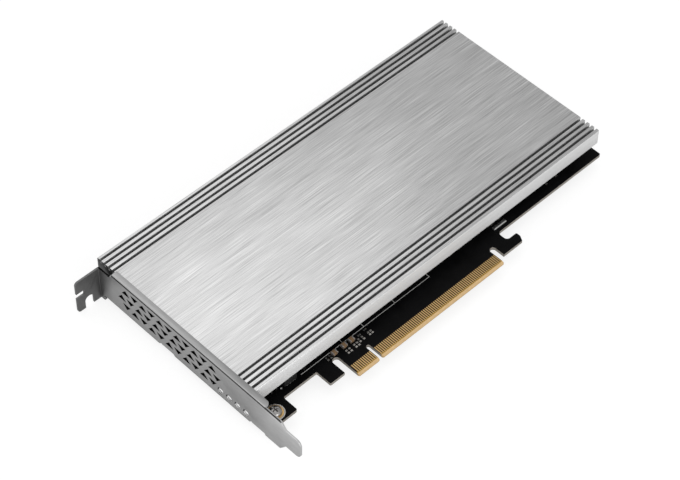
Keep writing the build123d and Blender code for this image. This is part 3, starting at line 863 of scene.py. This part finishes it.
class CARD_OT_stage(bpy.types.Operator):
    """Camera at the photograph's angle, pale floor and soft studio light"""

    bl_idname = "card.stage"
    bl_label = "Stage"

    # Millimetres: the camera's sensor.
    sensor = 36
    # Metres: where the camera's view starts and ends, the floor, and both lamps, whose places
    # are counted from the card's middle.
    view_start, view_end = 0.01, 20
    floor_size = 6
    key_size, key_place = 0.7, Vector((0.1, 0.35, 0.75))
    fill_size, fill_place = 0.5, Vector((-0.4, -0.8, 0.4))
    # How white the floor is, and how dim its mirror image gets under the card; the two
    # distances from the card's sides, in millimetres, between which it brightens again.
    floor_white, floor_dim = 0.78, 0.3
    dim_start, dim_end = -20, 80
    # The surroundings that metal mirrors: their light low and high along X, and the span.
    dome_low, dome_high = 0.85, 0.5
    dome_start, dome_end = 0.15, 0.65

    def execute(self, context):
        look = context.scene.card_stage
        context.scene.view_settings.view_transform = "Standard"
        self.camera(context, look)
        self.floor()
        self.world(context, look)
        middle = (Vector(cad_box[0]) + Vector(cad_box[1])) / 2
        self.lamp(context, "key_lamp", look.key, self.key_size, middle + self.key_place, middle)
        self.lamp(context, "fill_lamp", look.fill, self.fill_size, middle + self.fill_place, middle)
        return {"FINISHED"}

    def camera(self, context, look):
        data = bpy.data.cameras.new("camera")
        data.sensor_fit = "HORIZONTAL"
        data.sensor_width = self.sensor
        data.lens = look.lens
        data.clip_start = self.view_start
        data.clip_end = self.view_end
        camera = bpy.data.objects.new("camera", data)
        context.scene.collection.objects.link(camera)
        sight = Vector(look.target) - Vector(look.place)
        turn = sight.to_track_quat("-Z", "Y").to_matrix() @ Matrix.Rotation(look.roll, 3, "Z")
        camera.matrix_world = Matrix.Translation(look.place) @ turn.to_4x4()
        context.scene.camera = camera

    def floor(self):
        """A pale floor that shows white to the camera and keeps the card's soft shadow."""
        finish = new_finish("floor_paper")
        spot = finish.place()
        fibre = finish.grain(spot, (0.4, 0.4, 0.4), 3.0)
        path = finish.node("ShaderNodeLightPath", {}, {})
        x, y, z = finish.axes(spot)
        low, high = [Vector(corner) / MM for corner in cad_box]
        middle, half = (low + high) / 2, (high - low) / 2
        away = (abs(x - middle.x) - half.x) | (abs(y - middle.y) - half.y)
        dimmed = finish.ramp(away, self.dim_start, self.dim_end, self.floor_dim, 1.0)
        seen = path | path.part("Is Glossy Ray") * dimmed | path.part("Is Transmission Ray")
        finish.surface({
            "Base Color": finish.tinted((0.30, 0.30, 0.30), finish.uneven(fibre, 0.97, 1.03)),
            "Roughness": 0.9,
            "Specular IOR Level": 0.0,
            "Emission Color": (1.0, 1.0, 1.0),
            "Emission Strength": seen * self.floor_white,
        })
        shape = bmesh.new()
        bmesh.ops.create_grid(shape, x_segments=1, y_segments=1, size=self.floor_size)
        floor = as_piece("floor", shape, finish.holder)
        floor.location.z = min(cad_box[0][2], cad_box[1][2])

    def world(self, context, look):
        world = bpy.data.worlds.new("studio")
        context.scene.world = world
        finish = Finish(world)
        path = finish.node("ShaderNodeLightPath", {}, {})
        seen = path | path.part("Is Transmission Ray")
        mirrored = path.part("Is Glossy Ray")
        way = finish.node("ShaderNodeTexCoord", {}, {})
        dome = finish.ramp(
            finish.axes(way)[0], self.dome_start, self.dome_end, self.dome_low, self.dome_high
        )
        lit = 1 - (seen | mirrored)
        strength = seen + mirrored * dome + lit * look.ambient
        white = (1, 1, 1, 1)
        shader = finish.node("ShaderNodeBackground", {}, {"Color": white, "Strength": strength})
        finish.node("ShaderNodeOutputWorld", {}, {"Surface": shader})

    def lamp(self, context, name, watts, size, place, target):
        data = bpy.data.lights.new(name, "AREA")
        data.shape = "SQUARE"
        data.size = size
        data.energy = watts
        lamp = bpy.data.objects.new(name, data)
        context.scene.collection.objects.link(lamp)
        turn = (target - place).to_track_quat("-Z", "Y").to_matrix().to_4x4()
        lamp.matrix_world = Matrix.Translation(place) @ turn
        lamp.visible_camera = False


class CARD_OT_cover(bpy.types.Operator):
    """Brushed aluminium cover with broken edges"""

    bl_idname = "card.cover"
    bl_label = "Cover"

    def execute(self, context):
        look = context.scene.card_cover
        softened(
            "heatsink_cover", "brushed_cover", look.edge, brushed_aluminium(), "cover_aluminium"
        )
        return {"FINISHED"}


class CARD_OT_bracket(bpy.types.Operator):
    """Plated steel bracket with broken edges"""

    bl_idname = "card.bracket"
    bl_label = "Bracket"

    def execute(self, context):
        look = context.scene.card_bracket
        softened(
            "io_bracket", "plated_bracket", look.edge, bracket_finish(), "bracket_steel"
        )
        return {"FINISHED"}


class CARD_OT_fasteners(bpy.types.Operator):
    """Domed screws with cross recesses, spacers and standoffs"""

    bl_idname = "card.fasteners"
    bl_label = "Fasteners"

    # Shares of the head's radius: the shank, and the cross's reach and width.
    shank, reach, width = 0.555, 0.6, 0.26
    # Shares of the head's height: its upright rim, and the top and bottom of the cross.
    rim, cross_top, cross_bottom = 0.3, 1.1, 0.35
    # Steps from the rim to the top of the dome.
    steps = 6

    def execute(self, context):
        look = context.scene.card_bracket
        nickel = metal("nickel_screws", tuple(look.nickel), 0.28, False)
        self.screws("bracket_screws", "lug_screws", look.lug_head, True, nickel)
        self.screws("cover_screws", "cover_fixing_screws", look.cover_head, False, nickel)
        self.screws("drive_screws", "drive_fixing_screws", look.drive_head, True, nickel)
        dress("cover_spacers", metal("turned_spacers", (0.66, 0.66, 0.67), 0.32, True))
        dress("drive_standoffs", metal("turned_brass", (0.70, 0.52, 0.26), 0.30, True))
        return {"FINISHED"}

    def screws(self, node, name, head_height, upward, material):
        """One domed screw with a cross recess for each solid of a CAD node."""
        boxes = solids_of(node)
        low, high = boxes[0]
        radius = (high.x - low.x) / 2
        depth = high.z - low.z - head_height
        shank, rim = radius * self.shank, head_height * self.rim
        outline = [(0, -depth), (shank, -depth), (shank, 0), (radius, 0)]
        for step in range(self.steps + 1):
            angle = step / self.steps * math.pi / 2
            rise = rim + (head_height - rim) * math.sin(angle)
            outline.append((radius * math.cos(angle), rise))
        screw = as_piece(name + "_shape", turned(outline), material)
        cutter = cross_cutter(
            radius * self.reach, radius * self.width,
            head_height * self.cross_top, head_height * self.cross_bottom,
        )
        screw = cut_away(screw, as_piece(name + "_cutter", cutter, material))
        if not upward:
            screw.data.transform(Matrix.Rotation(math.pi, 4, "X"))
        seats = []
        for low, high in boxes:
            seat = high.z - head_height if upward else low.z + head_height
            seats.append(((low.x + high.x) / 2, (low.y + high.y) / 2, seat))
        keep(spread(name, screw, material, seats), "screw_steel", node)


class CARD_OT_sockets(bpy.types.Operator):
    """Drive sockets, their solder tails and the soft pads of the drives"""

    bl_idname = "card.sockets"
    bl_label = "Drive sockets"

    def execute(self, context):
        plastic = moulding("socket_nylon", (0.018, 0.018, 0.018), 0.5, 8.0)
        tin = metal("solder_tin", (0.66, 0.66, 0.65), 0.34, False)
        silicone = moulding("pad_silicone", (0.30, 0.36, 0.42), 0.75, 3.0)
        for number in range(1, 5):
            dress(f"m2_socket_{number}", plastic)
            dress(f"m2_contacts_{number}", tin)
            dress(f"drive_thermal_pad_{number}", silicone)
        dress("chip_thermal_pad", silicone)
        return {"FINISHED"}


class CARD_OT_chips(bpy.types.Operator):
    """Chips, inductors, capacitors and the small metal parts"""

    bl_idname = "card.chips"
    bl_label = "Chips and capacitors"

    # A lens's depth in millimetres, and its half width and half height as shares of the light.
    lens_depth, lens_width, lens_height = 0.2, 0.3, 0.46
    # A tinned end: how far it stands proud in millimetres, its share of the capacitor's length,
    # and the bevel of its edges as a share of its size.
    proud, end_share, end_bevel = 0.02, 0.22, 0.1

    def execute(self, context):
        epoxy = moulding("chip_epoxy", (0.022, 0.022, 0.024), 0.45, 9.0)
        for node in ("switch_chip", "regulator_chips", "flash_chip", "clock_chip"):
            dress(node, epoxy)
        dress("power_inductors", moulding("pressed_iron", (0.07, 0.07, 0.075), 0.6, 6.0))
        dress("bulk_capacitors", moulding("moulded_capacitor", (0.035, 0.028, 0.02), 0.5, 6.0))
        ceramic = moulding("fired_ceramic", (0.24, 0.15, 0.08), 0.5, 7.0)
        for node in ("ceramic_capacitors", "coupling_capacitors"):
            dress(node, ceramic)
        lid = metal("plated_lid", (0.70, 0.70, 0.69), 0.3, False)
        for node in ("crystal", "edge_filter"):
            dress(node, lid)
        # The light bodies are painted nearly black for the shade inside the bracket's holes.
        dress("status_lights", moulding("light_body", (0.008, 0.008, 0.008), 0.7, 6.0))
        self.lenses(lens_finish())
        self.ends()
        return {"FINISHED"}

    def lenses(self, epoxy):
        """A dome on the front of each light, behind the bracket's round holes, painted dark for the
        shade there.
        """
        places, sizes = [], []
        for low, high in solids_of("status_lights"):
            size = high - low
            places.append((low.x, (low.y + high.y) / 2, (low.z + high.z) / 2))
            sizes.append((self.lens_depth * MM, size.y * self.lens_width, size.z * self.lens_height))
        shape = bmesh.new()
        bmesh.ops.create_uvsphere(shape, u_segments=20, v_segments=12, radius=1)
        dome = as_piece("lens_shape", shape, epoxy)
        keep(spread("light_lenses", dome, epoxy, places, sizes), "light_lens")

    def ends(self):
        """Tinned ends round both ends of each ceramic capacitor."""
        proud = self.proud * MM
        places, sizes = [], []
        for node in ("ceramic_capacitors", "coupling_capacitors"):
            for low, high in solids_of(node):
                size = high - low
                along = 0 if size.x > size.y else 1
                wide = [size[i] + 2 * proud for i in range(3)]
                wide[2] = size.z + proud
                wide[along] = size[along] * self.end_share + proud
                for side in (-1, 1):
                    middle = (low + high) / 2
                    middle.z = low.z + wide[2] / 2
                    middle[along] += side * (size[along] / 2 + proud - wide[along] / 2)
                    places.append(middle)
                    sizes.append(wide)
        block = bmesh.new()
        bmesh.ops.create_cube(block, size=1)
        bmesh.ops.bevel(
            block, geom=block.edges[:], offset=self.end_bevel, offset_type="OFFSET", segments=1,
            profile=0.5, affect="EDGES",
        )
        tin = bpy.data.materials["solder_tin"]
        cap = as_piece("end_shape", block, tin)
        keep(spread("capacitor_ends", cap, tin, places, sizes), "solder_tin")


OPERATORS = (
    CARD_OT_board, CARD_OT_marks, CARD_OT_cover, CARD_OT_bracket, CARD_OT_fasteners,
    CARD_OT_sockets, CARD_OT_chips, CARD_OT_lands, CARD_OT_stage,
)
SETTINGS = {
    "card_board": CardBoard, "card_cover": CardCover, "card_bracket": CardBracket,
    "card_stage": CardStage,
}


class CARD_PT_panel(bpy.types.Panel):
    """Lists the card's settings and the steps that build its looks"""

    bl_idname = "CARD_PT_panel"
    bl_label = "Drive adapter card"
    bl_space_type = "VIEW_3D"
    bl_region_type = "UI"
    bl_category = "Card"

    def draw(self, context):
        for name, settings in SETTINGS.items():
            box = self.layout.box()
            for field in settings.__annotations__:
                box.prop(getattr(context.scene, name), field)
        for operator in OPERATORS:
            self.layout.operator(operator.bl_idname)


def register():
    """Registers settings, steps and panel."""
    for settings in SETTINGS.values():
        bpy.utils.register_class(settings)
    for name, settings in SETTINGS.items():
        setattr(bpy.types.Scene, name, PointerProperty(type=settings))
    for shown in (*OPERATORS, CARD_PT_panel):
        bpy.utils.register_class(shown)


def unregister():
    """Takes panel, steps and settings away again."""
    for shown in (CARD_PT_panel, *reversed(OPERATORS)):
        bpy.utils.unregister_class(shown)
    for name, settings in SETTINGS.items():
        delattr(bpy.types.Scene, name)
        bpy.utils.unregister_class(settings)


def main():
    """Builds the looks round the frame."""
    register()
    for operator in OPERATORS:
        space, step = operator.bl_idname.split(".")
        getattr(getattr(bpy.ops, space), step)()
    bpy.context.view_layer.update()


if __name__ == "__main__":
    main()
